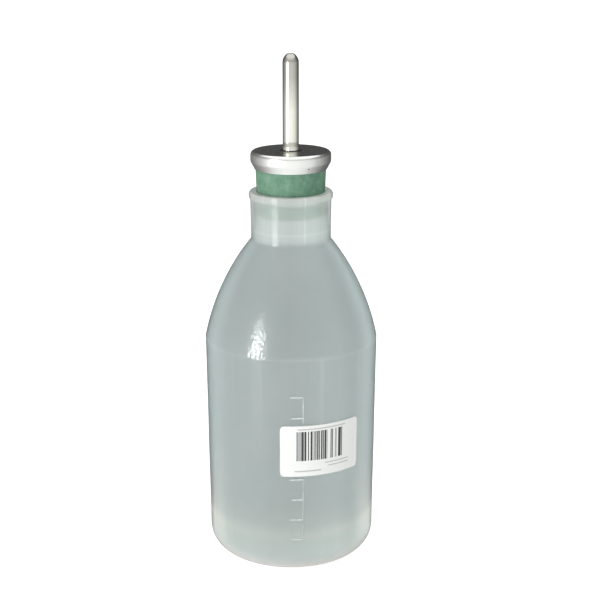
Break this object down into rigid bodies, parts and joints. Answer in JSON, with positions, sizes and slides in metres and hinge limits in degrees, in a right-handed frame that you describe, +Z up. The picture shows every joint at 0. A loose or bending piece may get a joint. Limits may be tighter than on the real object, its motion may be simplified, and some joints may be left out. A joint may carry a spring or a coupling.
{
  "type": "calf feeding bottle",
  "caption": "Translucent graduated feeding bottle with a tapered rubber stopper, a pressed steel cap and a steel drinking tube.",
  "frame": {"origin": "centre of the base, on the surface that the bottle stands on", "axes": "+Z up along the bottle's axis to the tube's tip; the moulded scale and the label are on the -Y side"},
  "size_m": [0.104, 0.1041, 0.3049],
  "materials": {
    "bottle_plastic": "milky translucent, satin",
    "paper": "matt white with plain grey rules",
    "rubber": "chalky green, lightly scuffed",
    "cap_steel": "polished",
    "tube_steel": "polished",
    "braze": "dull grey"
  },
  "bodies": {
    "bottle_body": {"bottle": "bottle_plastic", "paper_label": "paper"},
    "stopper_body": {"rubber_stopper": "rubber", "steel_cap": "cap_steel", "drinking_tube": "tube_steel", "braze_ring": "braze"}
  },
  "joints": [
    {"name": "stopper_pull", "type": "slide", "parent": "bottle_body", "child": "stopper_body", "axis": [0, 0, 1], "range_m": [0, 0.08]}
  ]
}
